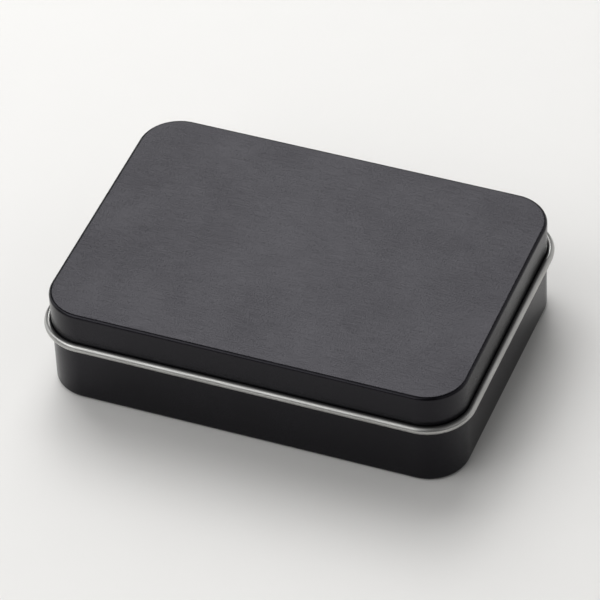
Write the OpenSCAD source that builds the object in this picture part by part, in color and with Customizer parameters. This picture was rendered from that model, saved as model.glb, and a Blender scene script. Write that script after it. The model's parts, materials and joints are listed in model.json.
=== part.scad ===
// Pocket tin for a card game: a drawn base and a drawn lid that turns on two wire pins at the back.
// Millimetres. The tin stands on the XY plane, centred on the origin, with its hinge towards +Y.

/* [Tin] */
// Length of the lid over its two end walls
lid_len = 97; // [88:0.5:140]
// Width of the lid over its front and back walls
lid_wid = 69; // [60:0.5:110]
// Height of the closed tin
tin_h = 24.6; // [20:0.1:40]
// Outer corner radius of the lid, seen from above
corner_r = 9.3; // [7:0.1:12]
// Thickness of the tinplate that both halves are drawn from
sheet_t = 0.22; // [0.18:0.01:0.28]

/* [Lid] */
// Depth of the lid, from its top down to the middle of its rim curl
lid_depth = 8.7; // [7:0.1:12]
// Outer radius of the bend between the lid's top and its skirt
lid_bend_r = 0.75; // [0.6:0.05:2]
// Outer radius of the curl round the lid's rim
curl_r = 0.9; // [0.8:0.05:1.2]
// Degrees that the rim curl and the hinge knuckles wrap round
curl_wrap = 308; // [270:1:310]

/* [Base] */
// Distance from the lid's wall in to the base's wall below it
wall_set_in = 0.14; // [0.05:0.01:0.25]
// Clearance between the lid's skirt and the base's neck inside it
fit_gap = 0.15; // [0.12:0.01:0.3]
// Height of the base's mouth above the middle of the rim curl
neck_rise = 4.2; // [3:0.1:4.6]
// Outer radius of the curl turned in round the base's mouth
mouth_curl_r = 0.75; // [0.6:0.05:0.9]
// Degrees that the mouth curl wraps round
mouth_curl_wrap = 300; // [240:1:305]
// Outer radius of the bend between the base's floor and its wall
base_bend_r = 0.85; // [0.8:0.05:2]
// Height by which the floor's middle panel is pressed up
panel_rise = 0.4; // [0.2:0.05:1]
// Distance from the base's wall to the edge of that panel
panel_margin = 4.5; // [4:0.1:5]

/* [Hinge] */
// Distance between the middles of the two hinge tongues
hinge_span = 48; // [42:0.5:50]
// Width of each hinge tongue
tongue_w = 10; // [6:0.5:12]
// Width of the slit beside each tongue, in the base's wall
slit_w = 0.3; // [0.2:0.05:0.5]
// Gap between a tongue's knuckle and the cut ends of the rim curl
knuckle_gap = 0.3; // [0.2:0.05:0.5]
// Length of each hinge pin
pin_len = 26; // [20:0.5:28]
// Running clearance round each pin
pin_gap = 0.04; // [0.02:0.01:0.08]
// Chamfer on the ends of each pin
pin_chamfer = 0.12; // [0.05:0.01:0.2]

/* [Hidden] */

// Finish of the sheet's outer side, of its bare inner side, and of the pin wire
lacquer_black = "#232326";
bare_tinplate = "#b4b1aa";
pin_steel = "#a7a6a2";

// Centre of the corner arcs, shared by both halves
corner_x = lid_len / 2 - corner_r;
corner_y = lid_wid / 2 - corner_r;

// Radii of the bends along the middle of the sheet
lid_bend_mid = lid_bend_r - sheet_t / 2;
base_bend_mid = base_bend_r - sheet_t / 2;
curl_mid = curl_r - sheet_t / 2;
mouth_curl_mid = mouth_curl_r - sheet_t / 2;

// Distances out from the corner centres to the middle of the sheet
lid_wall_u = corner_r - sheet_t / 2;
base_wall_u = corner_r - wall_set_in - sheet_t / 2;
neck_u = corner_r - sheet_t - fit_gap - sheet_t / 2;
neck_step = base_wall_u - neck_u;

// The hinge axis is the middle of the lid's rim curl, along the back
hinge_z = tin_h - lid_depth;
hinge_y = corner_y + lid_wall_u + curl_mid;
pin_r = curl_r - sheet_t - pin_gap;

// Angle and middle radius of the small joggles, where the sheet steps sideways
joggle_angle = 35;
joggle_r = 0.3;
panel_edge_r = 0.5;

// The neck's joggle ends this far under the rim curl, and the slits reach this far under the joggle
shoulder_gap = 0.15;
slit_depth = 0.7;
shoulder_z = hinge_z - curl_r - shoulder_gap;
mouth_z = hinge_z + neck_rise;
slit_z = shoulder_z - joggle_rise(neck_step, joggle_r) - slit_depth;
tongue_root = 1;
tongue_foot = 0.2;
overcut = 1;

// Facets: degrees of one step round a bend of the sheet, and sides of a full circle
bend_step = 15;
round_fn = 96;

// Straight length of a joggle that steps the sheet sideways by offset
function joggle_flat(offset, r) = (offset - 2 * r * (1 - cos(joggle_tilt(offset, r)))) / sin(joggle_tilt(offset, r));

// Angle of a joggle, which gets flatter where the two bends alone would step too far
function joggle_tilt(offset, r) = min(joggle_angle, acos(max(0, 1 - offset / (2 * r))));

// Length that a joggle takes up along the sheet's own direction
function joggle_rise(offset, r) =
  2 * r * sin(joggle_tilt(offset, r)) + joggle_flat(offset, r) * cos(joggle_tilt(offset, r));

// Moves of a joggle to one side: side 1 steps to the left of the heading and side -1 to the right
function joggle(offset, r, side) = [
  ["bend", r, side * joggle_tilt(offset, r)],
  ["flat", joggle_flat(offset, r)],
  ["bend", r, -side * joggle_tilt(offset, r)]
];

// Points [u, z, heading] along one move from a start point
function bend_points(from, r, angle) = let (
    side = sign(angle),
    steps = ceil(abs(angle) / bend_step),
    centre = [from[0] - side * r * sin(from[2]), from[1] + side * r * cos(from[2])]
  ) [for (i = [1:steps]) let (h = from[2] + angle * i / steps)
    [centre[0] + side * r * sin(h), centre[1] - side * r * cos(h), h]];
function flat_points(from, length) = length <= 0 ? [] :
  [[from[0] + length * cos(from[2]), from[1] + length * sin(from[2]), from[2]]];
function move_points(from, move) =
  move[0] == "bend" ? bend_points(from, move[1], move[2]) : flat_points(from, move[1]);

// Middle line of a sheet that is bent by a list of moves
function sheet_path(path, moves, i = 0) = i == len(moves) ? path :
  sheet_path(concat(path, move_points(path[len(path) - 1], moves[i])), moves, i + 1);

// Outline of the sheet round its middle line
function beside(p, distance) = [p[0] - distance * sin(p[2]), p[1] + distance * cos(p[2])];
function sheet_outline(path) = concat(
  [for (p = path) beside(p, sheet_t / 2)],
  [for (i = [len(path) - 1:-1:0]) beside(path[i], -sheet_t / 2)]
);

module sheet(start, moves) {
  polygon(sheet_outline(sheet_path([start], moves)));
}

// Sweeps a profile, drawn outwards from the corner centres, round the tin's four sides and corners
module round_the_tin() {
  for (turn = [0:3]) {
    reach = turn % 2 == 0 ? [corner_x, corner_y] : [corner_y, corner_x];
    rotate(90 * turn) translate([reach[0], reach[1], 0]) {
      rotate_extrude(angle = 90, $fn = round_fn) children();
      rotate([90, 0, 0]) linear_extrude(2 * reach[1]) children();
    }
  }
}

// Flat plate between the four corner centres, which closes the middle of a pan
module middle_plate(z) {
  translate([-corner_x, -corner_y, z - sheet_t / 2]) cube([2 * corner_x, 2 * corner_y, sheet_t]);
}

// Extrudes a profile along the back wall, centred on x
module along_back(x, width) {
  translate([x - width / 2, corner_y, 0]) rotate([90, 0, 90]) linear_extrude(width) children();
}

// A box across the back wall, from in_by inside the lid's outer face to overcut outside its curl
module back_cut(x, width, in_by, z_low, z_high) {
  translate([x - width / 2, lid_wid / 2 - in_by, z_low])
    cube([width, in_by + 2 * curl_r + overcut, z_high - z_low]);
}

module at_hinges() {
  for (side = [-1, 1]) translate([side * hinge_span / 2, 0, 0]) children();
}

module base_profile() {
  panel_z = panel_rise + sheet_t / 2;
  panel_u = corner_r - wall_set_in - panel_margin;
  floor_u = base_wall_u - base_bend_mid - panel_u - joggle_rise(panel_rise, panel_edge_r);
  wall_h = shoulder_z - joggle_rise(neck_step, joggle_r) - base_bend_r;
  sheet([0, panel_z, 0], concat(
    [["flat", panel_u]],
    joggle(panel_rise, panel_edge_r, -1),
    [["flat", floor_u], ["bend", base_bend_mid, 90], ["flat", wall_h]],
    joggle(neck_step, joggle_r, 1),
    [["flat", mouth_z - mouth_curl_r - shoulder_z], ["bend", mouth_curl_mid, mouth_curl_wrap]]
  ));
}

// Tongue of the base's wall, stepped out under the lid's skirt and curled over the pin
module tongue_profile() {
  straight = hinge_z - slit_z - tongue_foot - joggle_rise(wall_set_in, joggle_r);
  sheet([base_wall_u, slit_z - tongue_root, 90], concat(
    [["flat", tongue_root + tongue_foot]],
    joggle(wall_set_in, joggle_r, -1),
    [["flat", straight], ["bend", curl_mid, -curl_wrap]]
  ));
}

module base_shell() {
  union() {
    round_the_tin() base_profile();
    middle_plate(panel_rise + sheet_t / 2);
  }
}

module base_pan() {
  mouth_depth = corner_r - neck_u + 2 * mouth_curl_r + overcut;
  color(lacquer_black) union() {
    difference() {
      base_shell();
      at_hinges() back_cut(0, tongue_w + 2 * slit_w, mouth_depth, slit_z, mouth_z + overcut);
    }
    at_hinges() along_back(0, tongue_w) tongue_profile();
  }
}

module lid_profile() {
  sheet([0, tin_h - sheet_t / 2, 0], [
    ["flat", corner_r - lid_bend_r],
    ["bend", lid_bend_mid, -90],
    ["flat", lid_depth - lid_bend_r],
    ["bend", curl_mid, curl_wrap]
  ]);
}

module lid_shell() {
  union() {
    round_the_tin() lid_profile();
    middle_plate(tin_h - sheet_t / 2);
  }
}

module lid_pan() {
  notch_w = tongue_w + 2 * knuckle_gap;
  notch_top = hinge_z + curl_r + knuckle_gap;
  color(lacquer_black) difference() {
    lid_shell();
    at_hinges() back_cut(0, notch_w, sheet_t + fit_gap / 2, hinge_z - curl_r - overcut, notch_top);
  }
}

// One pin of straight wire, held in the rim curl on both sides of a tongue
module hinge_pin(side) {
  half = pin_len / 2;
  color(pin_steel) translate([side * hinge_span / 2, hinge_y, hinge_z]) rotate([0, 90, 0])
    rotate_extrude($fn = round_fn) polygon([
      [0, -half],
      [pin_r - pin_chamfer, -half],
      [pin_r, pin_chamfer - half],
      [pin_r, half - pin_chamfer],
      [pin_r - pin_chamfer, half],
      [0, half]
    ]);
}

base_pan();
lid_pan();
hinge_pin(-1);  // hinge_pin_left
hinge_pin(1);  // hinge_pin_right
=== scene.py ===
"""Dresses a card game tin: a drawn base and lid of black lacquered tinplate, with a bare rolled rim.

Both pans are swept from the section of one bent sheet. Its outer side is lacquered and its inner side is
bare, so the rolled rim and the hinge knuckles, which turn the inner side outwards, come out bright. Lengths
are in metres.
"""

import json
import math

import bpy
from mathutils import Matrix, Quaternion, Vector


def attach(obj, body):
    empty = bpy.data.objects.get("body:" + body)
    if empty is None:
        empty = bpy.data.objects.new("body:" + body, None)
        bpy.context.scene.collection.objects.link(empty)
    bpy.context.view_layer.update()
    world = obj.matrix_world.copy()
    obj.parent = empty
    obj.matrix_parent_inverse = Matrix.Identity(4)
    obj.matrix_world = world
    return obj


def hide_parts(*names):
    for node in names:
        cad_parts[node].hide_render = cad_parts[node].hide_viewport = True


bl_info = {
    "name": "Card Game Tin",
    "version": (1, 0, 0),
    "blender": (4, 5, 0),
    "location": "3D View > Sidebar > Tin",
    "description": "Builds a lacquered card game tin with a rolled rim and a hinged lid",
    "category": "Add Mesh",
}

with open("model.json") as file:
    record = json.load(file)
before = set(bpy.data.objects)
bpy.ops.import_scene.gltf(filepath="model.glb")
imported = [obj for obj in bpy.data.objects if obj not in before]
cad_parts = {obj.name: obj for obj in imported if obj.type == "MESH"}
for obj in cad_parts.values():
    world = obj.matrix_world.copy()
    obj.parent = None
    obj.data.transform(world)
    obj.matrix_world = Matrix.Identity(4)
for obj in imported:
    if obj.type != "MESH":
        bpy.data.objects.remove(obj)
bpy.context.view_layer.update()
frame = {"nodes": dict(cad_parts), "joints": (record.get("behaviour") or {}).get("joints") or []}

MM = 0.001
QUARTER = math.radians(90)
HINGE_AT = Vector(frame["joints"][0]["pos_m"])

# Points closer than this are one point, and edges sharper than this angle stay sharp
WELD = 1e-6
SHARP_ANGLE = math.radians(40)

# Where the attribute bare passes this, a face is on the sheet's bare side or on its cut edge
BARE_FROM = 0.25

# A face whose normal is at least this steep counts as level
LEVEL_FROM = 0.9

# Most of a noise pattern lies between these two values
NOISE_LOW, NOISE_HIGH = 0.3, 0.7

# Depth of the finest relief in the sheet's surface, and the drop that keeps the floor clear of the tin
RELIEF_DEPTH = 0.01 * MM
FLOOR_DROP = 0.02 * MM

# Width of the camera's sensor, and the photograph's side in pixels
SENSOR_MM = 36.0
PHOTO_SIDE = 600


def length(name, value, description):
    """A length in metres that a user can change."""
    return bpy.props.FloatProperty(
        name=name,
        description=description,
        default=value,
        min=0,
        unit="LENGTH",
        subtype="DISTANCE",
        precision=5,
    )


def turn(name, degrees, description):
    """An angle that a user can change, given in degrees."""
    return bpy.props.FloatProperty(
        name=name, description=description, default=math.radians(degrees), unit="ROTATION", subtype="ANGLE"
    )


def share(name, value, description, top=1.0):
    """A plain number from 0 to top, such as a roughness."""
    return bpy.props.FloatProperty(
        name=name, description=description, default=value, min=0, max=top, subtype="FACTOR"
    )


def linear(code):
    """Linear RGBA of an sRGB hex code."""
    parts = [int(code[i : i + 2], 16) / 255 for i in (1, 3, 5)]
    return [c / 12.92 if c <= 0.04045 else ((c + 0.055) / 1.055) ** 2.4 for c in parts] + [1.0]


def colour(name, code, description):
    """A colour that a user can change, given as an sRGB hex code."""
    return bpy.props.FloatVectorProperty(
        name=name, description=description, default=linear(code), size=4, min=0, max=1, subtype="COLOR"
    )


class TinSizes(bpy.types.PropertyGroup):
    """Sizes of the two pans and their hinge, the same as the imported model's."""

    lid_length: length("Lid length", 97 * MM, "Length of the lid over its two end walls")
    lid_width: length("Lid width", 69 * MM, "Width of the lid over its front and back walls")
    height: length("Height", 24.6 * MM, "Height of the closed tin")
    corner: length("Corner radius", 9.3 * MM, "Outer corner radius of the lid, seen from above")
    sheet: length("Sheet", 0.22 * MM, "Thickness of the tinplate")
    lid_bend: length("Lid bend", 0.75 * MM, "Outer radius of the bend between the lid's top and its skirt")
    curl: length("Rim curl", 0.9 * MM, "Outer radius of the curl round the lid's rim")
    curl_wrap: turn("Rim wrap", 308, "How far the rim curl and the knuckles wrap round")
    wall_set_in: length("Wall set-in", 0.14 * MM, "Distance from the lid's wall in to the base's wall")
    fit_gap: length("Fit gap", 0.15 * MM, "Clearance between the lid's skirt and the base's neck")
    neck_rise: length("Neck rise", 4.2 * MM, "Height of the base's mouth above the hinge axis")
    mouth_curl: length("Mouth curl", 0.75 * MM, "Outer radius of the curl round the base's mouth")
    mouth_wrap: turn("Mouth wrap", 300, "How far the mouth curl wraps round")
    base_bend: length("Base bend", 0.85 * MM, "Outer radius of the bend between the base's floor and wall")
    panel_rise: length("Panel rise", 0.4 * MM, "Height by which the floor's middle panel is pressed up")
    panel_margin: length("Panel margin", 4.5 * MM, "Distance from the base's wall to the panel's edge")
    panel_edge: length("Panel edge", 0.5 * MM, "Radius of the bends at the panel's edge")
    joggle_radius: length("Joggle radius", 0.3 * MM, "Radius of the bends where the wall steps sideways")
    joggle_tilt: turn("Joggle tilt", 35, "Steepest angle of a joggle")
    shoulder_gap: length("Shoulder gap", 0.15 * MM, "Drop from the rim curl to the shoulder below it")
    hinge_span: length("Hinge span", 48 * MM, "Distance between the middles of the two hinge tongues")
    tongue: length("Tongue width", 10 * MM, "Width of each hinge tongue")
    tongue_foot: length("Tongue foot", 0.2 * MM, "Straight start of a tongue, above the foot of its slits")
    slit: length("Slit width", 0.3 * MM, "Width of the slit beside each tongue")
    slit_depth: length("Slit depth", 0.7 * MM, "How far the slits reach below the shoulder")
    knuckle_gap: length("Knuckle gap", 0.3 * MM, "Gap between a knuckle and the cut ends of the rim curl")
    corner_steps: bpy.props.IntProperty(
        name="Corner steps", description="Steps round each corner", default=28, min=4, max=64
    )
    bend_step: turn("Bend step", 7.5, "Turn of the sheet from one point of a bend to the next")


class TinFinishes(bpy.types.PropertyGroup):
    """Colours, gloss and grain of the tin's surfaces."""

    lacquer: colour("Lacquer", "#060608", "Black roller-coated lacquer on the sheet's outer side")
    lacquer_thin: colour("Lacquer, thin", "#0f0f12", "The same lacquer where its coat is thinner")
    lacquer_rough: share("Lacquer roughness", 0.26, "Satin of the lacquer")
    lacquer_ior: share("Lacquer IOR", 1.45, "Refractive index of the lacquer", 3)
    lacquer_shine: share("Lacquer shine", 0.32, "Share of its reflection that matting leaves, 0.5 is all")
    lacquer_cast: colour("Lacquer cast", "#f5f1ff", "Cool cast of the lacquer's gloss")
    lacquer_relief: share("Lacquer relief", 0.2, "Strength of the streaks and ripples as relief")
    streak: length("Streak", 0.3 * MM, "Width of the streaks that rolling left in the sheet")
    streak_length: share("Streak length", 18, "Length of a streak, in widths", 200)
    streak_gloss: share("Streak gloss", 0.019, "How far the streaks change the roughness, up or down")
    streak_thin: share("Streak thinness", 0.4, "How much thinner the coat gets along the streaks")
    streak_on_walls: share("Streaks on walls", 0.25, "Share of the streaks that drawing left on the walls")
    ripple: length("Ripple", 0.2 * MM, "Width of the coat's fine ripples")
    ripple_length: share("Ripple length", 1.4, "Length of a ripple, in widths", 10)
    ripple_height: share("Ripple height", 1.8, "Height of the ripples against that of the streaks", 10)
    ripple_gloss: share("Ripple gloss", 0.046, "How far the ripples change the roughness, up or down")
    patch: length("Patch", 14 * MM, "Size of the coat's thicker and thinner patches")
    patch_from: share("Patch from", 0.35, "Value of the pattern where the coat starts to get thinner")
    patch_thin: share("Patch thinness", 0.6, "How much thinner the coat gets in the patches")
    patch_gloss: share("Patch gloss", 0.022, "How far the patches change the roughness, up or down")
    tin: colour("Tinplate", "#b8b8b6", "Bare tin coating on the sheet's inner side")
    tin_dull: colour("Tinplate, dull", "#999895", "The same coating where it has dulled")
    tin_rough: share("Tinplate roughness", 0.36, "Satin of the bare tin")
    tin_scuff: share("Tinplate scuff", 0.05, "How far forming marks change the roughness, up or down")
    tin_relief: share("Tinplate relief", 0.12, "Strength of the forming marks as relief")
    grain_length: share("Grain length", 90, "Length of a line of the flat's grain, in streak widths", 500)
    grain_scuff: share("Grain scuff", 0.25, "Change of gloss along that grain, as a share of the marks' own")
    grain_relief: share("Grain relief", 0.4, "Relief of that grain against the relief of the forming marks")
    cloud: length("Cloud", 7 * MM, "Size of the soft clouds in the bare tin")
    cloud_gloss: share("Cloud gloss", 0.02, "How far the clouds change the roughness, up or down")
    mark: length("Mark", 0.16 * MM, "Width of the marks that forming left along the walls and the rim")
    mark_length: length("Mark length", 9 * MM, "Length of those marks")
    wire: colour("Pin wire", "#b4b1ab", "Drawn steel wire of the hinge pins")
    wire_dull: colour("Pin wire, dull", "#85827c", "The same wire along its drawing marks")
    wire_rough: share("Wire roughness", 0.32, "Satin of the drawn wire")
    wire_scuff: share("Wire scuff", 0.06, "How far the drawing marks change the roughness, up or down")
    wire_mark: length("Wire mark", 0.1 * MM, "Width of a drawing mark")
    wire_mark_length: share("Wire mark length", 60, "Length of a drawing mark, in widths", 500)


class TinStudio(bpy.types.PropertyGroup):
    """Camera and light, after the photograph."""

    azimuth: turn("Azimuth", 23.11, "Turn of the camera round the tin, from the front towards the right")
    elevation: turn("Elevation", 42.74, "Height of the camera above the horizon")
    roll: turn("Roll", -2.96, "Turn of the picture about the line of sight")
    distance: length("Distance", 1046 * MM, "Depth of the middle of the footprint in front of the camera")
    focal: bpy.props.FloatProperty(
        name="Focal length", description="Focal length of the camera", default=280.53, min=20, unit="CAMERA"
    )
    foot_column: share("Foot column", 303.43, "Column of the photo with the footprint's middle", PHOTO_SIDE)
    foot_row: share("Foot row", 335.99, "Row of the photo with the footprint's middle", PHOTO_SIDE)
    floor: colour("Floor", "#e2e1df", "Pale paper that the tin stands on")
    floor_side: length("Floor side", 3000 * MM, "Side of that sheet of paper")
    floor_fibre: length("Floor fibre", 12 * MM, "Size of the paper's faint fibre")
    floor_shade: share("Floor shade", 0.985, "How much of its lightness the paper keeps along its fibre")
    floor_rough: share("Floor roughness", 0.9, "Matt surface of the paper")
    floor_shine: share("Floor shine", 0.1, "Share of the mirror reflection that the paper keeps, 0.5 is all")
    room: share("Room", 0.07, "Brightness of the room round the lights", 4)
    back_light: share("Back light", 5.2, "Brightness of the light that the lid's top mirrors", 20)
    back_lift: turn("Back lift", 1, "How much higher that light stands than the camera")
    front_light: share("Front light", 1.64, "Brightness of the light that the front of the rim mirrors", 20)
    high_light: share("High light", 0.69, "Brightness of the light above the front light", 20)
    strip_light: share("Strip light", 2.65, "Brightness of the slanting strip in the lid's bend", 20)
    left_light: share("Left light", 1.15, "Brightness of the low light that the left corner mirrors", 20)
    right_light: share("Right light", 0.36, "Brightness of the light that the right of the rim mirrors", 20)
    side_light: share("Side light", 0.58, "Brightness of the wide light that the right side mirrors", 20)
    floor_light: share("Floor light", 4.2, "Brightness of the wide light that no gloss mirrors", 20)


def add(tree, kind, values=None, links=None, **settings):
    """Adds a node to a tree: settings are its properties, values fill its inputs, links join them up."""
    made = tree.nodes.new(kind)
    for name, value in settings.items():
        setattr(made, name, value)
    for key, value in (values or {}).items():
        made.inputs[key].default_value = value
    for key, source in (links or {}).items():
        tree.links.new(source, made.inputs[key])
    return made


def bend(radius, angle):
    """A move of the sheet's middle line round an arc: a positive angle turns it to its left."""
    return ("bend", radius, angle)


def flat(distance):
    """A straight move of the sheet's middle line."""
    return ("flat", distance, 0.0)


def joggle(offset, radius, tilt, side):
    """Moves that step the sheet sideways by offset: side is 1 for a step to its left and -1 to its right."""
    tilt = min(tilt, math.acos(max(0.0, 1 - offset / (2 * radius))))
    straight = (offset - 2 * radius * (1 - math.cos(tilt))) / math.sin(tilt)
    return [bend(radius, side * tilt), flat(straight), bend(radius, -side * tilt)]


def sheet_line(start, moves, step, reach_before=0.0):
    """Points (out, up, heading, reach) along the middle of a sheet that is bent by a list of moves."""
    points = [(*start, reach_before)]
    for kind, size, angle in moves:
        out, up, heading, reach = points[-1]
        if kind == "flat" and size > WELD:
            end = out + size * math.cos(heading), up + size * math.sin(heading)
            points.append((*end, heading, reach + size))
        if kind == "bend":
            side = math.copysign(size, angle)
            centre_out, centre_up = out - side * math.sin(heading), up + side * math.cos(heading)
            count = math.ceil(abs(angle) / step - WELD)
            for share_done in [i / count for i in range(1, count + 1)]:
                now = heading + angle * share_done
                end = centre_out + side * math.sin(now), centre_up - side * math.cos(now)
                points.append((*end, now, reach + size * abs(angle) * share_done))
    return points


def rise_of(moves):
    """Distance that some moves go along the heading that they start with."""
    return sheet_line((0.0, 0.0, 0.0), moves, QUARTER)[-1][0]


def link_object(name, data):
    """A new object in the scene."""
    made = bpy.data.objects.new(name, data)
    bpy.context.scene.collection.objects.link(made)
    return made


def section_object(name, line, sheet, left_is_bare, closed=False):
    """A helper mesh of edges only: the outline of a bent sheet, along its left side and back along its right.

    Its X is outwards and its Y is downwards. The attributes reach and bare give each point's length along the
    sheet and whether it is on the bare side.
    """
    outline = []
    for side, way in ((1, 1), (-1, -1)):
        bare = 1.0 if (side > 0) == left_is_bare else 0.0
        shift = side * sheet / 2
        for out, up, heading, reach in line[::way]:
            beside = out - shift * math.sin(heading), -up - shift * math.cos(heading)
            outline.append((*beside, reach, bare))
    edges = [(i, i + 1) for i in range(len(outline) - 1)] + [(len(outline) - 1, 0)] * closed
    mesh = bpy.data.meshes.new(name)
    mesh.from_pydata([(out, down, 0.0) for out, down, reach, bare in outline], edges, [])
    mesh.attributes.new("reach", "FLOAT", "POINT").data.foreach_set("value", [p[2] for p in outline])
    mesh.attributes.new("bare", "FLOAT", "POINT").data.foreach_set("value", [p[3] for p in outline])
    return link_object(name, mesh)


def lid_section(s):
    """Section of the lid: its top, bend and skirt, and the curl of its rim. Its X is 0 at the lid's wall."""
    depth = s.height - HINGE_AT.z
    moves = [
        flat(s.corner - s.lid_bend),
        bend(s.lid_bend - s.sheet / 2, -QUARTER),
        flat(depth - s.lid_bend),
        bend(s.curl - s.sheet / 2, s.curl_wrap),
    ]
    line = sheet_line((-s.corner, s.height - s.sheet / 2, 0.0), moves, s.bend_step)
    return section_object("lid_section", line, s.sheet, left_is_bare=False)


def neck_step(s):
    """Distance from the middle of the base's wall in to the middle of its neck."""
    return s.sheet + s.fit_gap - s.wall_set_in


def shoulder_z(s):
    """Height where the base's neck begins, just under the rim curl."""
    return HINGE_AT.z - s.curl - s.shoulder_gap


def slit_z(s):
    """Height of the foot of the slits beside the tongues."""
    return shoulder_z(s) - rise_of(joggle(neck_step(s), s.joggle_radius, s.joggle_tilt, 1)) - s.slit_depth


def tongue_root(s):
    """Height where a tongue grows out of the base's wall, between its two slits."""
    return slit_z(s) + s.tongue_foot / 2


def mouth_z(s):
    """Height of the base's mouth."""
    return HINGE_AT.z + s.neck_rise


def floor_moves(s):
    """Moves of the base's sheet from its pressed floor panel to the foot of its wall."""
    panel_step = joggle(s.panel_rise, s.panel_edge, s.joggle_tilt, -1)
    panel = s.corner - s.wall_set_in - s.panel_margin
    return [
        flat(panel),
        *panel_step,
        flat(s.corner - s.wall_set_in - s.base_bend - panel - rise_of(panel_step)),
        bend(s.base_bend - s.sheet / 2, QUARTER),
    ]


def floor_start(s):
    """Where the base's section starts, over the centre of a corner."""
    return (-s.corner, s.panel_rise + s.sheet / 2, 0.0)


def base_section(s):
    """Section of the base: its pressed floor panel, wall and set-in neck, and the curl round its mouth."""
    neck = joggle(neck_step(s), s.joggle_radius, s.joggle_tilt, 1)
    moves = [
        *floor_moves(s),
        flat(shoulder_z(s) - rise_of(neck) - s.base_bend),
        *neck,
        flat(mouth_z(s) - s.mouth_curl - shoulder_z(s)),
        bend(s.mouth_curl - s.sheet / 2, s.mouth_wrap),
    ]
    line = sheet_line(floor_start(s), moves, s.bend_step)
    return section_object("base_section", line, s.sheet, left_is_bare=True)


def tongue_section(s):
    """Section of a hinge tongue: it steps out under the lid's skirt and curls over the pin."""
    step_out = joggle(s.wall_set_in, s.joggle_radius, s.joggle_tilt, -1)
    foot_reach = sheet_line(floor_start(s), floor_moves(s), s.bend_step)[-1][3]
    moves = [
        flat(s.tongue_foot / 2),
        *step_out,
        flat(HINGE_AT.z - slit_z(s) - s.tongue_foot - rise_of(step_out)),
        bend(s.curl - s.sheet / 2, -s.curl_wrap),
    ]
    start = (-s.wall_set_in - s.sheet / 2, tongue_root(s), QUARTER)
    line = sheet_line(start, moves, s.bend_step, foot_reach + tongue_root(s) - s.base_bend)
    return section_object("tongue_section", line, s.sheet, left_is_bare=True, closed=True)


def open_tree(name, inputs):
    """A geometry node tree with a geometry output, and the sockets of its geometry input and named inputs."""
    tree = bpy.data.node_groups.new(name, "GeometryNodeTree")
    for label, kind in {"Geometry": "Geometry", **inputs}.items():
        tree.interface.new_socket(label, in_out="INPUT", socket_type="NodeSocket" + kind)
    tree.interface.new_socket("Geometry", in_out="OUTPUT", socket_type="NodeSocketGeometry")
    return tree, tree.nodes.new("NodeGroupInput").outputs


def maths(tree, operation, *terms):
    """The output of a Math node, whose terms are numbers or other nodes' outputs."""
    numbers = {i: t for i, t in enumerate(terms) if isinstance(t, (int, float))}
    outputs = {i: t for i, t in enumerate(terms) if i not in numbers}
    return add(tree, "ShaderNodeMath", numbers, outputs, operation=operation).outputs[0]


def vector(tree, x, y, z):
    """The output of a Combine XYZ node, whose terms are numbers or other nodes' outputs."""
    terms = dict(enumerate((x, y, z)))
    numbers = {i: t for i, t in terms.items() if isinstance(t, (int, float))}
    outputs = {i: t for i, t in terms.items() if i not in numbers}
    return add(tree, "ShaderNodeCombineXYZ", numbers, outputs).outputs[0]


def named(tree, name):
    """The output of a named attribute, one number for each point."""
    return add(tree, "GeometryNodeInputNamedAttribute", {"Name": name}, data_type="FLOAT").outputs[0]


def store(tree, geometry, name, value, data_type="FLOAT", domain="CORNER"):
    """Stores a value on a geometry under a name."""
    made = add(
        tree,
        "GeometryNodeStoreNamedAttribute",
        {"Name": name},
        {"Geometry": geometry, "Value": value},
        data_type=data_type,
        domain=domain,
    )
    return made.outputs[0]


def both_finishes(tree, geometry, lacquer, bare):
    """Gives each side of the sheet its finish, by the attribute bare."""
    turned = maths(tree, "GREATER_THAN", named(tree, "bare"), BARE_FROM)
    outer = add(tree, "GeometryNodeSetMaterial", links={"Geometry": geometry, "Material": lacquer})
    links = {"Geometry": outer.outputs[0], "Selection": turned, "Material": bare}
    return add(tree, "GeometryNodeSetMaterial", links=links).outputs[0]


def close_tree(tree, geometry):
    """Ends a tree: welds points that meet, and shades smooth across all but the sharp edges."""
    welded = add(tree, "GeometryNodeMergeByDistance", {"Distance": WELD}, {"Geometry": geometry})
    smooth = add(tree, "GeometryNodeSetShadeSmooth", {"Shade Smooth": True}, {"Geometry": welded.outputs[0]})
    angle = add(tree, "GeometryNodeInputMeshEdgeAngle")
    sharp = maths(tree, "GREATER_THAN", angle.outputs["Unsigned Angle"], SHARP_ANGLE)
    edged = add(
        tree,
        "GeometryNodeSetShadeSmooth",
        {"Shade Smooth": False},
        {"Geometry": smooth.outputs[0], "Selection": sharp},
        domain="EDGE",
    )
    add(tree, "NodeGroupOutput", links={0: edged.outputs[0]})
    return tree


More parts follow.
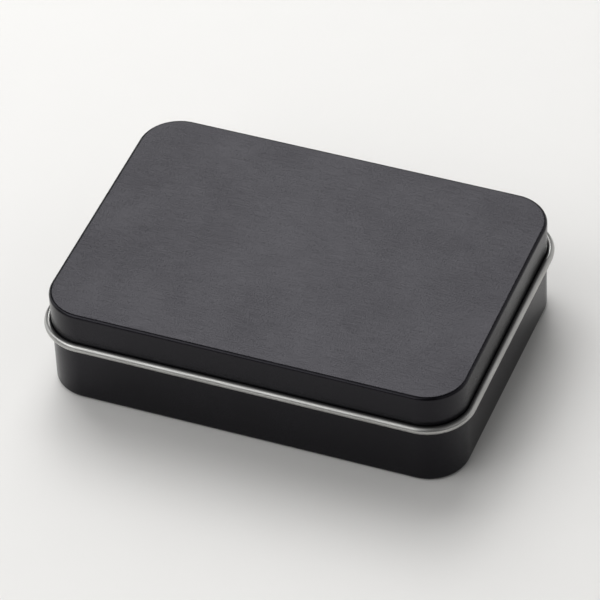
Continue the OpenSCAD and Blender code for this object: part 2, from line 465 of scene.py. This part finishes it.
def pan_tree():
    """Sweeps a section round a rounded rectangle and closes its middle with the two faces of a flat plate.

    The map blank holds each point's place on the flat sheet that the pan was drawn from, so grain and streaks
    run over the top and down the walls without a break.
    """
    tree, given = open_tree(
        "Drawn pan",
        {
            "Section": "Object",
            "Length": "Float",
            "Width": "Float",
            "Corner radius": "Float",
            "Corner steps": "Int",
            "Plate upper": "Float",
            "Plate lower": "Float",
            "Upper is bare": "Float",
            "Lacquer": "Material",
            "Bare tin": "Material",
        },
    )
    across = maths(tree, "MULTIPLY", given["Corner radius"], 2.0)
    inner_length = maths(tree, "SUBTRACT", given["Length"], across)
    inner_width = maths(tree, "SUBTRACT", given["Width"], across)
    outline = add(
        tree,
        "GeometryNodeCurvePrimitiveQuadrilateral",
        links={"Width": given["Length"], "Height": given["Width"]},
    )
    path = add(
        tree,
        "GeometryNodeFilletCurve",
        links={"Curve": outline.outputs[0], "Radius": given["Corner radius"], "Count": given["Corner steps"]},
        mode="POLY",
    )
    level = add(tree, "GeometryNodeSetCurveNormal", links={"Curve": path.outputs[0]}, mode="Z_UP")
    held = add(tree, "GeometryNodeObjectInfo", links={"Object": given["Section"]})
    section = add(tree, "GeometryNodeMeshToCurve", links={"Mesh": held.outputs["Geometry"]})
    walls = add(
        tree,
        "GeometryNodeCurveToMesh",
        links={"Curve": level.outputs[0], "Profile Curve": section.outputs[0]},
    )
    middle = add(
        tree, "GeometryNodeCurvePrimitiveQuadrilateral", links={"Width": inner_length, "Height": inner_width}
    )
    plate = add(tree, "GeometryNodeFillCurve", links={"Curve": middle.outputs[0]}, mode="NGONS")
    faces = []
    lower_is_bare = maths(tree, "SUBTRACT", 1.0, given["Upper is bare"])
    for side, bare in (("Plate upper", given["Upper is bare"]), ("Plate lower", lower_is_bare)):
        placed = add(
            tree,
            "GeometryNodeTransform",
            links={"Geometry": plate.outputs[0], "Translation": vector(tree, 0.0, 0.0, given[side])},
        )
        faces.append(store(tree, placed.outputs[0], "bare", bare, domain="POINT"))
    lower = add(tree, "GeometryNodeFlipFaces", links={"Mesh": faces[1]})
    joined = add(tree, "GeometryNodeJoinGeometry")
    for part in (walls.outputs[0], faces[0], lower.outputs[0]):
        tree.links.new(part, joined.inputs[0])
    place = add(tree, "ShaderNodeSeparateXYZ", links={0: add(tree, "GeometryNodeInputPosition").outputs[0]})
    nearest, centre = [], []
    for axis, inner in (("X", inner_length), ("Y", inner_width)):
        half = maths(tree, "MULTIPLY", inner, 0.5)
        low = maths(tree, "MULTIPLY", half, -1.0)
        clamped = add(tree, "ShaderNodeClamp", links={0: place.outputs[axis], 1: low, 2: half})
        nearest.append(clamped.outputs[0])
        centre.append(maths(tree, "MULTIPLY", half, maths(tree, "SIGN", place.outputs[axis])))
    # The first ring of the sweep is drawn in to the four corner centres, where it meets the plate
    met = add(
        tree,
        "GeometryNodeSetPosition",
        links={
            "Geometry": joined.outputs[0],
            "Selection": maths(tree, "LESS_THAN", named(tree, "reach"), WELD),
            "Position": vector(tree, *centre, place.outputs["Z"]),
        },
    )
    hub = vector(tree, nearest[0], nearest[1], 0.0)
    foot = vector(tree, place.outputs["X"], place.outputs["Y"], 0.0)
    away = add(tree, "ShaderNodeVectorMath", links={0: foot, 1: hub}, operation="SUBTRACT")
    aim = add(tree, "ShaderNodeVectorMath", links={0: away.outputs[0]}, operation="NORMALIZE")
    reach = named(tree, "reach")
    run = add(tree, "ShaderNodeVectorMath", links={0: aim.outputs[0], "Scale": reach}, operation="SCALE")
    blank = add(tree, "ShaderNodeVectorMath", links={0: hub, 1: run.outputs[0]}, operation="ADD")
    mapped = store(tree, met.outputs[0], "blank", blank.outputs[0], "FLOAT2")
    kept = store(tree, mapped, "reach", reach)
    real = add(tree, "GeometryNodeRealizeInstances", links={"Geometry": kept})
    return close_tree(tree, both_finishes(tree, real.outputs[0], given["Lacquer"], given["Bare tin"]))


def notch_tree():
    """Cuts a notch through the back wall at each of the two hinge stations."""
    tree, given = open_tree(
        "Hinge notches",
        {
            "Span": "Float",
            "Notch width": "Float",
            "Inner face": "Float",
            "Outer face": "Float",
            "Foot": "Float",
            "Head": "Float",
            "Bare tin": "Material",
        },
    )
    size = [
        given["Notch width"],
        maths(tree, "SUBTRACT", given["Outer face"], given["Inner face"]),
        maths(tree, "SUBTRACT", given["Head"], given["Foot"]),
    ]
    box = add(tree, "GeometryNodeMeshCube", links={"Size": vector(tree, *size)})
    middle_y = maths(tree, "MULTIPLY", maths(tree, "ADD", given["Outer face"], given["Inner face"]), 0.5)
    middle_z = maths(tree, "MULTIPLY", maths(tree, "ADD", given["Head"], given["Foot"]), 0.5)
    cutters = add(tree, "GeometryNodeJoinGeometry")
    for side in (-0.5, 0.5):
        at = vector(tree, maths(tree, "MULTIPLY", given["Span"], side), middle_y, middle_z)
        placed = add(tree, "GeometryNodeTransform", links={"Geometry": box.outputs[0], "Translation": at})
        tree.links.new(placed.outputs[0], cutters.inputs[0])
    edge = add(
        tree,
        "GeometryNodeSetMaterial",
        links={"Geometry": cutters.outputs[0], "Material": given["Bare tin"]},
    )
    cut = add(
        tree,
        "GeometryNodeMeshBoolean",
        links={"Mesh 1": given["Geometry"], "Mesh 2": edge.outputs[0]},
        operation="DIFFERENCE",
        solver="EXACT",
    )
    return close_tree(tree, cut.outputs[0])


def tongue_tree():
    """Adds the two hinge tongues, swept along the back wall from the section of one, and joins them to it."""
    tree, given = open_tree(
        "Hinge tongues",
        {
            "Section": "Object",
            "Span": "Float",
            "Tongue width": "Float",
            "Back wall": "Float",
            "Corner centre": "Float",
            "Root": "Float",
            "Lacquer": "Material",
            "Bare tin": "Material",
        },
    )
    held = add(tree, "GeometryNodeObjectInfo", links={"Object": given["Section"]})
    section = add(tree, "GeometryNodeMeshToCurve", links={"Mesh": held.outputs["Geometry"]})
    half = maths(tree, "MULTIPLY", given["Tongue width"], 0.5)
    ends = [vector(tree, half, 0.0, 0.0), vector(tree, maths(tree, "MULTIPLY", half, -1.0), 0.0, 0.0)]
    line = add(tree, "GeometryNodeCurvePrimitiveLine", links={0: ends[0], 1: ends[1]})
    level = add(tree, "GeometryNodeSetCurveNormal", links={"Curve": line.outputs[0]}, mode="Z_UP")
    swept = add(
        tree,
        "GeometryNodeCurveToMesh",
        {"Fill Caps": True},
        {"Curve": level.outputs[0], "Profile Curve": section.outputs[0]},
    )
    tongues = add(tree, "GeometryNodeJoinGeometry")
    for side in (-0.5, 0.5):
        at = vector(tree, maths(tree, "MULTIPLY", given["Span"], side), given["Back wall"], 0.0)
        placed = add(tree, "GeometryNodeTransform", links={"Geometry": swept.outputs[0], "Translation": at})
        tree.links.new(placed.outputs[0], tongues.inputs[0])
    place = add(tree, "ShaderNodeSeparateXYZ", links={0: add(tree, "GeometryNodeInputPosition").outputs[0]})
    along = maths(tree, "ADD", given["Corner centre"], named(tree, "reach"))
    mapped = store(tree, tongues.outputs[0], "blank", vector(tree, place.outputs["X"], along, 0.0), "FLOAT2")
    kept = store(tree, mapped, "reach", named(tree, "reach"))
    real = add(tree, "GeometryNodeRealizeInstances", links={"Geometry": kept})
    dressed = both_finishes(tree, real.outputs[0], given["Lacquer"], given["Bare tin"])
    joined = add(tree, "GeometryNodeJoinGeometry")
    for part in (given["Geometry"], dressed):
        tree.links.new(part, joined.inputs[0])
    # Where a tongue grows out of the wall, the two faces that meet are taken out
    facing = add(tree, "ShaderNodeSeparateXYZ", links={0: add(tree, "GeometryNodeInputNormal").outputs[0]})
    flat_faces = maths(tree, "GREATER_THAN", maths(tree, "ABSOLUTE", facing.outputs["Z"]), LEVEL_FROM)
    at_root = maths(tree, "COMPARE", place.outputs["Z"], given["Root"], WELD)
    opened = add(
        tree,
        "GeometryNodeDeleteGeometry",
        links={"Geometry": joined.outputs[0], "Selection": maths(tree, "MULTIPLY", flat_faces, at_root)},
        domain="FACE",
        mode="ONLY_FACE",
    )
    return close_tree(tree, opened.outputs[0])


def run_tree(piece, tree, values):
    """Puts a tree on a piece as a modifier, with its named inputs filled in."""
    modifier = piece.modifiers.new(tree.name, "NODES")
    modifier.node_group = tree
    sockets = {i.name: i.identifier for i in tree.interface.items_tree if i.in_out == "INPUT"}
    for label, value in values.items():
        modifier[sockets[label]] = value


def make_plain(piece, helpers):
    """Turns a piece with modifiers into a plain mesh of the same shape, and deletes its helpers."""
    weighted = piece.modifiers.new("Level flats", "WEIGHTED_NORMAL")
    weighted.keep_sharp = True
    bpy.context.view_layer.update()
    graph = bpy.context.evaluated_depsgraph_get()
    done = piece.evaluated_get(graph)
    mesh = bpy.data.meshes.new_from_object(done, preserve_all_data_layers=True, depsgraph=graph)
    mesh.name = piece.name
    piece.modifiers.clear()
    piece.data = mesh
    for helper in helpers:
        bpy.data.objects.remove(helper)
    if not mesh.polygons:
        raise RuntimeError(f"{piece.name} came out empty")


def start_material(name):
    """A new material with its Principled shader."""
    made = bpy.data.materials.new(name)
    made.use_nodes = True
    return made, made.node_tree, made.node_tree.nodes["Principled BSDF"]


def noise(tree, coordinates, size, stretch=(1, 1, 1), detail=3.0, falloff=0.5, shift=0.0):
    """Noise from 0 to 1 whose features are size metres wide, stretched along the axes of its coordinates."""
    placed = add(
        tree,
        "ShaderNodeMapping",
        {"Location": (shift, 2 * shift, 3 * shift), "Scale": [1 / (size * s) for s in stretch]},
        {"Vector": coordinates},
    )
    settings = {"Scale": 1.0, "Detail": detail, "Roughness": falloff}
    return add(tree, "ShaderNodeTexNoise", settings, {"Vector": placed.outputs[0]}).outputs["Fac"]


def spread(tree, source, low, high, first, last):
    """Maps a range of a pattern to another range."""
    made = add(
        tree,
        "ShaderNodeMapRange",
        {"From Min": low, "From Max": high, "To Min": first, "To Max": last},
        {"Value": source},
    )
    return made.outputs["Result"]


def swing(tree, source, amount, middle=0.0):
    """Turns a noise pattern into one that goes from middle less amount to middle plus amount."""
    return spread(tree, source, NOISE_LOW, NOISE_HIGH, middle - amount, middle + amount)


def total(tree, first, *others):
    """Sum of some outputs."""
    for other in others:
        first = maths(tree, "ADD", first, other)
    return first


def mixed_colour(tree, first, second, factor):
    """Mix of two colours."""
    made = add(tree, "ShaderNodeMix", {"A": first, "B": second}, {"Factor": factor}, data_type="RGBA")
    return made.outputs["Result"]


def on_walls(tree, s):
    """0 on the flat of a pan and 1 on its walls and curls, and the reach along the sheet."""
    reach = add(tree, "ShaderNodeAttribute", attribute_name="reach").outputs["Fac"]
    return spread(tree, reach, s.corner - s.base_bend, s.corner + s.base_bend, 0.0, 1.0), reach


def lacquer_material(f, s):
    """Satin black lacquer, roller-coated on tinplate before it was drawn.

    The eye sees a soft reflection of the studio, broken by streaks of the rolled sheet under the coat, by the
    coat's fine ripples and by faint patches where it is thinner. Drawing smoothed the walls.
    """
    made, tree, shader = start_material("satin_black_lacquer")
    blank = add(tree, "ShaderNodeUVMap", uv_map="blank").outputs[0]
    wall = on_walls(tree, s)[0]
    streaks = noise(tree, blank, f.streak, (f.streak_length, 1, 1), detail=2.0)
    ripples = noise(tree, blank, f.ripple, (f.ripple_length, 1, 1), detail=1.0, shift=4.3)
    patches = noise(tree, blank, f.patch, detail=5.0, falloff=0.6, shift=3.1)
    flat_streaks = maths(tree, "MULTIPLY", streaks, spread(tree, wall, 0.0, 1.0, 1.0, f.streak_on_walls))
    thin = total(
        tree,
        spread(tree, patches, f.patch_from, NOISE_HIGH, 0.0, f.patch_thin),
        spread(tree, flat_streaks, NOISE_LOW, NOISE_HIGH, 0.0, f.streak_thin),
    )
    tree.links.new(mixed_colour(tree, f.lacquer, f.lacquer_thin, thin), shader.inputs["Base Color"])
    rough = total(
        tree,
        swing(tree, patches, f.patch_gloss, f.lacquer_rough),
        swing(tree, flat_streaks, f.streak_gloss),
        swing(tree, ripples, f.ripple_gloss),
    )
    tree.links.new(rough, shader.inputs["Roughness"])
    height = total(tree, flat_streaks, maths(tree, "MULTIPLY", ripples, f.ripple_height))
    relief = {"Strength": f.lacquer_relief, "Distance": RELIEF_DEPTH}
    bump = add(tree, "ShaderNodeBump", relief, {"Height": height})
    tree.links.new(bump.outputs[0], shader.inputs["Normal"])
    shader.inputs["IOR"].default_value = f.lacquer_ior
    shader.inputs["Specular IOR Level"].default_value = f.lacquer_shine
    shader.inputs["Specular Tint"].default_value = f.lacquer_cast
    return made


def tin_material(f, s):
    """Bare tinplate: steel sheet with a flow-brightened coat of tin.

    The eye sees a soft neutral metal. The flat has the straight grain of the rolled sheet, and the walls and
    curls have the finer marks of the dies that turned them, which run along the rim.
    """
    made, tree, shader = start_material("bare_tinplate")
    blank = add(tree, "ShaderNodeUVMap", uv_map="blank").outputs[0]
    wall, reach = on_walls(tree, s)
    grain = noise(tree, blank, f.streak, (f.grain_length, 1, 1), detail=1.0, shift=0.7)
    clouds = noise(tree, blank, f.cloud, detail=0.0, shift=2.3)
    place = add(tree, "ShaderNodeSeparateXYZ", links={0: blank})
    round_rim = vector(tree, place.outputs["X"], place.outputs["Y"], reach)
    slender = f.mark_length / f.mark
    marks = noise(tree, round_rim, f.mark, (slender, slender, 1), shift=1.9)
    lines = add(tree, "ShaderNodeMix", links={"Factor": wall, "A": grain, "B": marks}).outputs["Result"]
    dull = maths(tree, "MULTIPLY", clouds, lines)
    tree.links.new(mixed_colour(tree, f.tin, f.tin_dull, dull), shader.inputs["Base Color"])
    full_on_walls = spread(tree, wall, 0.0, 1.0, f.grain_scuff, 1.0)
    scuff = maths(tree, "MULTIPLY", swing(tree, lines, f.tin_scuff), full_on_walls)
    rough = total(tree, scuff, swing(tree, clouds, f.cloud_gloss, f.tin_rough))
    tree.links.new(rough, shader.inputs["Roughness"])
    height = maths(tree, "MULTIPLY", lines, spread(tree, wall, 0.0, 1.0, f.grain_relief, 1.0))
    relief = {"Strength": f.tin_relief, "Distance": RELIEF_DEPTH}
    bump = add(tree, "ShaderNodeBump", relief, {"Height": height})
    tree.links.new(bump.outputs[0], shader.inputs["Normal"])
    shader.inputs["Metallic"].default_value = 1.0
    return made


def wire_material(f):
    """Drawn steel wire: a plain metal with fine marks along its length from the die."""
    made, tree, shader = start_material("drawn_steel_wire")
    place = add(tree, "ShaderNodeTexCoord").outputs["Object"]
    marks = noise(tree, place, f.wire_mark, (f.wire_mark_length, 1, 1), detail=2.0)
    tree.links.new(mixed_colour(tree, f.wire, f.wire_dull, marks), shader.inputs["Base Color"])
    tree.links.new(swing(tree, marks, f.wire_scuff, f.wire_rough), shader.inputs["Roughness"])
    shader.inputs["Metallic"].default_value = 1.0
    return made


def paper_material(c):
    """Matt studio paper under the tin, with a trace of fibre."""
    made, tree, shader = start_material("studio_paper")
    place = add(tree, "ShaderNodeTexCoord").outputs["Object"]
    fibre = noise(tree, place, c.floor_fibre, detail=4.0)
    shade = [part * c.floor_shade for part in c.floor[:3]] + [1.0]
    tree.links.new(mixed_colour(tree, c.floor, shade, fibre), shader.inputs["Base Color"])
    shader.inputs["Roughness"].default_value = c.floor_rough
    shader.inputs["Specular IOR Level"].default_value = c.floor_shine
    return made


def finish_named(name, build, *values):
    """The material of that name, built the first time it is asked for."""
    return bpy.data.materials.get(name) or build(*values)


class TIN_OT_lid(bpy.types.Operator):
    """Builds the lid: top, skirt and rolled rim, notched for the hinge"""

    bl_idname = "tin.lid"
    bl_label = "Lid Pan"

    def execute(self, context):
        s, f = context.scene.tin_sizes, context.scene.tin_finishes
        lacquer = finish_named("satin_black_lacquer", lacquer_material, f, s)
        bare = finish_named("bare_tinplate", tin_material, f, s)
        piece = link_object("tin_lid", bpy.data.meshes.new("tin_lid"))
        section = lid_section(s)
        run_tree(
            piece,
            pan_tree(),
            {
                "Section": section,
                "Length": s.lid_length,
                "Width": s.lid_width,
                "Corner radius": s.corner,
                "Corner steps": s.corner_steps,
                "Plate upper": s.height,
                "Plate lower": s.height - s.sheet,
                "Upper is bare": 0.0,
                "Lacquer": lacquer,
                "Bare tin": bare,
            },
        )
        run_tree(
            piece,
            notch_tree(),
            {
                "Span": s.hinge_span,
                "Notch width": s.tongue + 2 * s.knuckle_gap,
                "Inner face": s.lid_width / 2 - s.sheet - s.fit_gap / 2,
                "Outer face": HINGE_AT.y + 2 * s.curl,
                "Foot": HINGE_AT.z - 2 * s.curl,
                "Head": HINGE_AT.z + s.curl + s.knuckle_gap,
                "Bare tin": bare,
            },
        )
        make_plain(piece, [section])
        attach(piece, "lid")
        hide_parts("lid_pan")
        return {"FINISHED"}


class TIN_OT_base(bpy.types.Operator):
    """Builds the base: pressed floor, wall, neck and mouth curl, with the two hinge tongues"""

    bl_idname = "tin.base"
    bl_label = "Base Pan"

    def execute(self, context):
        s, f = context.scene.tin_sizes, context.scene.tin_finishes
        lacquer = finish_named("satin_black_lacquer", lacquer_material, f, s)
        bare = finish_named("bare_tinplate", tin_material, f, s)
        piece = link_object("tin_base", bpy.data.meshes.new("tin_base"))
        sections = [base_section(s), tongue_section(s)]
        run_tree(
            piece,
            pan_tree(),
            {
                "Section": sections[0],
                "Length": s.lid_length,
                "Width": s.lid_width,
                "Corner radius": s.corner,
                "Corner steps": s.corner_steps,
                "Plate upper": s.panel_rise + s.sheet,
                "Plate lower": s.panel_rise,
                "Upper is bare": 1.0,
                "Lacquer": lacquer,
                "Bare tin": bare,
            },
        )
        cuts = [
            # the slits on the inner and the outer side of the tongues, and the wall's edge between two slits
            (s.hinge_span - s.tongue - s.slit, s.slit, slit_z(s)),
            (s.hinge_span + s.tongue + s.slit, s.slit, slit_z(s)),
            (s.hinge_span, s.tongue + s.slit, tongue_root(s)),
        ]
        for span, width, foot in cuts:
            run_tree(
                piece,
                notch_tree(),
                {
                    "Span": span,
                    "Notch width": width,
                    "Inner face": s.lid_width / 2 - neck_step(s) - 4 * s.mouth_curl,
                    "Outer face": HINGE_AT.y + 2 * s.curl,
                    "Foot": foot,
                    "Head": mouth_z(s) + s.mouth_curl,
                    "Bare tin": bare,
                },
            )
        run_tree(
            piece,
            tongue_tree(),
            {
                "Section": sections[1],
                "Span": s.hinge_span,
                "Tongue width": s.tongue,
                "Back wall": s.lid_width / 2,
                "Corner centre": s.lid_width / 2 - s.corner,
                "Root": tongue_root(s),
                "Lacquer": lacquer,
                "Bare tin": bare,
            },
        )
        make_plain(piece, sections)
        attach(piece, "base")
        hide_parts("base_pan")
        return {"FINISHED"}


class TIN_OT_pins(bpy.types.Operator):
    """Gives the two hinge pins their drawn wire"""

    bl_idname = "tin.pins"
    bl_label = "Hinge Pins"

    def execute(self, context):
        wire = finish_named("drawn_steel_wire", wire_material, context.scene.tin_finishes)
        for node in ("hinge_pin_left", "hinge_pin_right"):
            pin = frame["nodes"][node]
            for slot in pin.material_slots:
                slot.material = wire
        return {"FINISHED"}


def direction(azimuth, elevation):
    """Unit vector towards a place round the tin: azimuth 0 is the front, and it grows towards the right."""
    level = math.cos(elevation)
    return Vector((math.sin(azimuth) * level, -math.cos(azimuth) * level, math.sin(elevation)))


def soft_light(name, brightness, azimuth, elevation, distance, width, height, spin=0.0, mirrored=True):
    """A soft light of even brightness that faces the tin, and that glossy surfaces mirror or not.

    Its azimuth, its elevation and its spin about its line to the tin are in degrees, its lengths in metres.
    """
    aim = direction(math.radians(azimuth), math.radians(elevation))
    data = bpy.data.lights.new(name, "AREA")
    data.shape = "RECTANGLE"
    data.size, data.size_y = width, height
    data.energy = brightness * math.pi * width * height
    made = link_object(name, data)
    made.location = aim * distance
    made.rotation_mode = "QUATERNION"
    facing = (-aim).to_track_quat("-Z", "Y")
    made.rotation_quaternion = facing @ Quaternion((0.0, 0.0, 1.0), math.radians(spin))
    made.visible_glossy = mirrored
    return made


def light_places(c):
    """Where each soft light stands, under the name that its brightness has in the studio's settings."""
    behind = {"azimuth": math.degrees(c.azimuth) + 180, "elevation": math.degrees(c.elevation + c.back_lift)}
    return {
        "front_light": {"azimuth": -30, "elevation": 36, "distance": 1.1, "width": 0.9, "height": 0.5},
        "high_light": {"azimuth": -35, "elevation": 66, "distance": 1.2, "width": 0.9, "height": 0.6},
        "strip_light": {
            "azimuth": -72,
            "elevation": 45,
            "distance": 1.2,
            "width": 1.3,
            "height": 0.3,
            "spin": 29,
        },
        "left_light": {"azimuth": -95, "elevation": 13, "distance": 1.2, "width": 1.0, "height": 0.5},
        "right_light": {"azimuth": 75, "elevation": 35, "distance": 1.2, "width": 1.0, "height": 0.8},
        "side_light": {"azimuth": 140, "elevation": 22, "distance": 1.3, "width": 1.6, "height": 1.2},
        "back_light": {**behind, "distance": 3, "width": 0.75, "height": 0.75},
        "floor_light": {
            "azimuth": 212,
            "elevation": 47,
            "distance": 1.3,
            "width": 1.2,
            "height": 1.1,
            "mirrored": False,
        },
    }


def place_camera(c):
    """The photograph's camera: its tilt, its roll and its perspective."""
    back = direction(c.azimuth, c.elevation)
    right = Vector((math.cos(c.azimuth), math.sin(c.azimuth), 0.0))
    up = back.cross(right)
    rolled_right = right * math.cos(c.roll) + up * math.sin(c.roll)
    rolled_up = up * math.cos(c.roll) - right * math.sin(c.roll)
    data = bpy.data.cameras.new("camera")
    data.sensor_width = SENSOR_MM
    data.lens = c.focal
    per_pixel = c.distance * SENSOR_MM / (c.focal * PHOTO_SIDE)
    across = (c.foot_column - PHOTO_SIDE / 2) * per_pixel
    upwards = (PHOTO_SIDE / 2 - c.foot_row) * per_pixel
    at = back * c.distance - rolled_right * across - rolled_up * upwards
    made = link_object("camera", data)
    made.matrix_world = Matrix.Translation(at) @ Matrix((rolled_right, rolled_up, back)).transposed().to_4x4()
    bpy.context.scene.camera = made


class TIN_OT_stage(bpy.types.Operator):
    """Sets the floor, the soft lights and the camera"""

    bl_idname = "tin.stage"
    bl_label = "Stage"

    def execute(self, context):
        c = context.scene.tin_studio
        half = c.floor_side / 2
        sheet = bpy.data.meshes.new("floor")
        corners = [(-half, -half, 0), (half, -half, 0), (half, half, 0), (-half, half, 0)]
        sheet.from_pydata(corners, [], [(0, 1, 2, 3)])
        sheet.transform(Matrix.Translation((0, 0, -FLOOR_DROP)))
        sheet.materials.append(finish_named("studio_paper", paper_material, c))
        link_object("floor", sheet)
        for name, place in light_places(c).items():
            soft_light(name, getattr(c, name), **place)
        world = bpy.data.worlds.new("room")
        world.use_nodes = True
        sky = world.node_tree.nodes["Background"]
        sky.inputs["Color"].default_value = (1.0, 1.0, 1.0, 1.0)
        sky.inputs["Strength"].default_value = c.room
        context.scene.world = world
        context.scene.view_settings.view_transform = "Standard"
        place_camera(c)
        return {"FINISHED"}


class TIN_PT_panel(bpy.types.Panel):
    """Sizes, finishes and build steps of the tin"""

    bl_idname = "TIN_PT_panel"
    bl_label = "Card Game Tin"
    bl_space_type = "VIEW_3D"
    bl_region_type = "UI"
    bl_category = "Tin"

    def draw(self, context):
        for group in (context.scene.tin_sizes, context.scene.tin_finishes, context.scene.tin_studio):
            box = self.layout.box()
            for name in group.__annotations__:
                box.prop(group, name)
        for step in STEPS:
            self.layout.operator(step.bl_idname)


STEPS = (TIN_OT_stage, TIN_OT_base, TIN_OT_lid, TIN_OT_pins)
GROUPS = {"tin_sizes": TinSizes, "tin_finishes": TinFinishes, "tin_studio": TinStudio}


def register():
    for kind in (*GROUPS.values(), *STEPS, TIN_PT_panel):
        bpy.utils.register_class(kind)
    for name, kind in GROUPS.items():
        setattr(bpy.types.Scene, name, bpy.props.PointerProperty(type=kind))


def unregister():
    for name in GROUPS:
        delattr(bpy.types.Scene, name)
    for kind in (TIN_PT_panel, *STEPS[::-1], *reversed(GROUPS.values())):
        bpy.utils.unregister_class(kind)


def main():
    register()
    bpy.ops.tin.stage()
    bpy.ops.tin.base()
    bpy.ops.tin.lid()
    bpy.ops.tin.pins()


if __name__ == "__main__":
    main()
